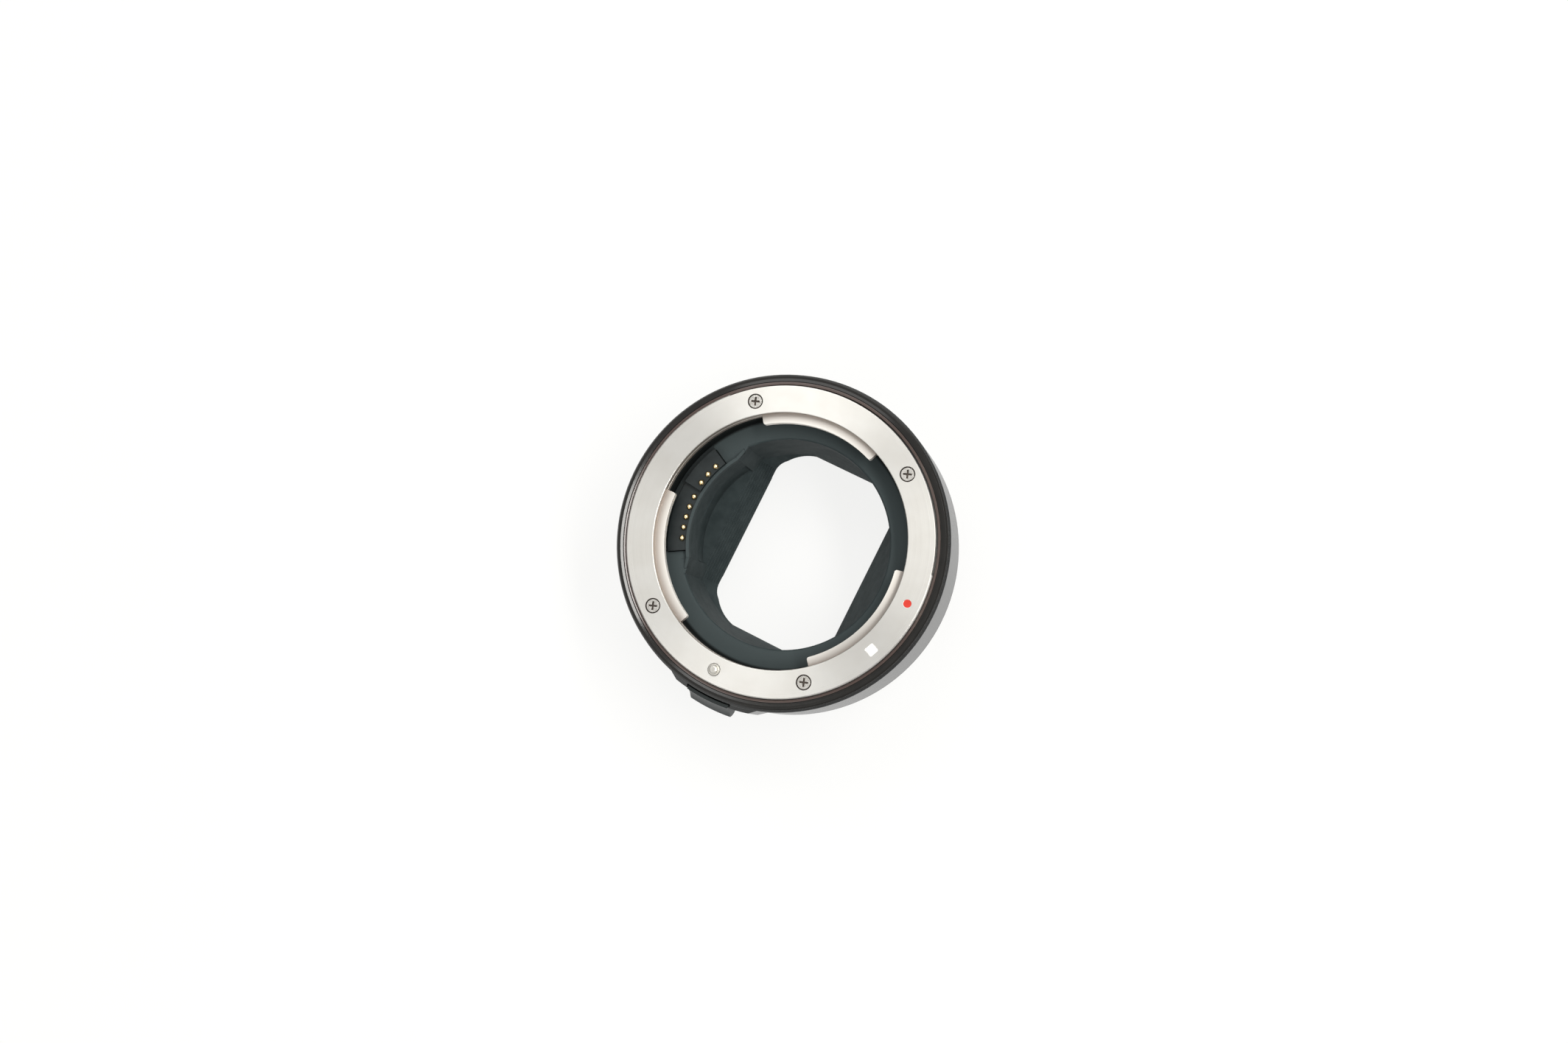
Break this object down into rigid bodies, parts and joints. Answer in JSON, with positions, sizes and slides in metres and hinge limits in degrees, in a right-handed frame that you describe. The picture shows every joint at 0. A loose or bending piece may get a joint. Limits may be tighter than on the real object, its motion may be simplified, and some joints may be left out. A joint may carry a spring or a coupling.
{
  "type": "lens mount adapter",
  "caption": "Short round adapter that carries an SLR lens on a mirrorless camera, with bayonets at both ends, sprung lens contacts and a lens release lever.",
  "frame": {"origin": "on the optical axis, in the plane of the camera-side flange face", "axes": "+Z along the optical axis towards the lens; +X towards the red mark of the lens flange; the release lever is at -Y"},
  "size_m": [0.0712, 0.0739, 0.0306],
  "materials": {
    "barrel_paint": "satin black, fine",
    "rim_gloss": "polished black",
    "mount_steel": "turned, fine circular grain",
    "spring_steel": "bright",
    "screw_steel": "bright",
    "screw_black": "black oxide",
    "red_mark": "filled paint",
    "white_mark": "filled paint",
    "baffle_plastic": "fine matt grain",
    "contact_block_plastic": "moulded, matt",
    "board_green": "solder mask",
    "flex_amber": "film",
    "contact_gold": "gold plated",
    "seal_rubber": "matt",
    "bush_brass": "turned",
    "pin_steel": "ground",
    "slider_plastic": "moulded",
    "lever_black": "fine matt grain"
  },
  "bodies": {
    "root": {"baffle_screws": "screw_black", "barrel": "barrel_paint", "camera_index_mark": "red_mark", "contact_board": "board_green", "contact_board_screws": "screw_black", "contact_spring_1": "spring_steel", "contact_spring_2": "spring_steel", "contact_spring_3": "spring_steel", "contact_spring_4": "spring_steel", "contact_spring_5": "spring_steel", "contact_spring_6": "spring_steel", "contact_spring_7": "spring_steel", "contact_spring_8": "spring_steel", "flex_circuit": "flex_amber", "front_contact_block": "contact_block_plastic", "front_rim_ring": "rim_gloss", "lens_mount_ring": "mount_steel", "lens_mount_screws": "screw_steel", "light_baffle": "baffle_plastic", "lock_guide_bush": "bush_brass", "lock_spring": "spring_steel", "mount_leaf_spring": "spring_steel", "rear_contact_block": "contact_block_plastic", "rear_contact_pads": "contact_gold", "rear_contact_screws": "screw_black", "rear_mount_ring": "mount_steel", "rear_mount_screws": "screw_steel", "rear_seal": "seal_rubber", "red_index_mark": "red_mark", "white_index_mark": "white_mark"},
    "lock": {"lock_pin": "pin_steel", "lock_slider": "slider_plastic", "release_lever": "lever_black", "lever_screws": "screw_black"},
    "lens_contact_1": {"contact_pin_1": "contact_gold"},
    "lens_contact_2": {"contact_pin_2": "contact_gold"},
    "lens_contact_3": {"contact_pin_3": "contact_gold"},
    "lens_contact_4": {"contact_pin_4": "contact_gold"},
    "lens_contact_5": {"contact_pin_5": "contact_gold"},
    "lens_contact_6": {"contact_pin_6": "contact_gold"},
    "lens_contact_7": {"contact_pin_7": "contact_gold"},
    "lens_contact_8": {"contact_pin_8": "contact_gold"}
  },
  "joints": [
    {"name": "lock_release", "type": "slide", "parent": "root", "child": "lock", "axis": [0, 0, -1], "range_m": [0, 0.0018], "stiffness_N_per_m": 400, "springref_m": -0.002, "deforming": ["lock_spring"]},
    {"name": "contact_press_1", "type": "slide", "parent": "root", "child": "lens_contact_1", "axis": [0, 0, -1], "range_m": [0, 0.0009], "stiffness_N_per_m": 300, "springref_m": -0.0006, "deforming": ["contact_spring_1"]},
    {"name": "contact_press_2", "type": "slide", "parent": "root", "child": "lens_contact_2", "axis": [0, 0, -1], "range_m": [0, 0.0009], "stiffness_N_per_m": 300, "springref_m": -0.0006, "deforming": ["contact_spring_2"]},
    {"name": "contact_press_3", "type": "slide", "parent": "root", "child": "lens_contact_3", "axis": [0, 0, -1], "range_m": [0, 0.0009], "stiffness_N_per_m": 300, "springref_m": -0.0006, "deforming": ["contact_spring_3"]},
    {"name": "contact_press_4", "type": "slide", "parent": "root", "child": "lens_contact_4", "axis": [0, 0, -1], "range_m": [0, 0.0009], "stiffness_N_per_m": 300, "springref_m": -0.0006, "deforming": ["contact_spring_4"]},
    {"name": "contact_press_5", "type": "slide", "parent": "root", "child": "lens_contact_5", "axis": [0, 0, -1], "range_m": [0, 0.0009], "stiffness_N_per_m": 300, "springref_m": -0.0006, "deforming": ["contact_spring_5"]},
    {"name": "contact_press_6", "type": "slide", "parent": "root", "child": "lens_contact_6", "axis": [0, 0, -1], "range_m": [0, 0.0009], "stiffness_N_per_m": 300, "springref_m": -0.0006, "deforming": ["contact_spring_6"]},
    {"name": "contact_press_7", "type": "slide", "parent": "root", "child": "lens_contact_7", "axis": [0, 0, -1], "range_m": [0, 0.0009], "stiffness_N_per_m": 300, "springref_m": -0.0006, "deforming": ["contact_spring_7"]},
    {"name": "contact_press_8", "type": "slide", "parent": "root", "child": "lens_contact_8", "axis": [0, 0, -1], "range_m": [0, 0.0009], "stiffness_N_per_m": 300, "springref_m": -0.0006, "deforming": ["contact_spring_8"]}
  ]
}
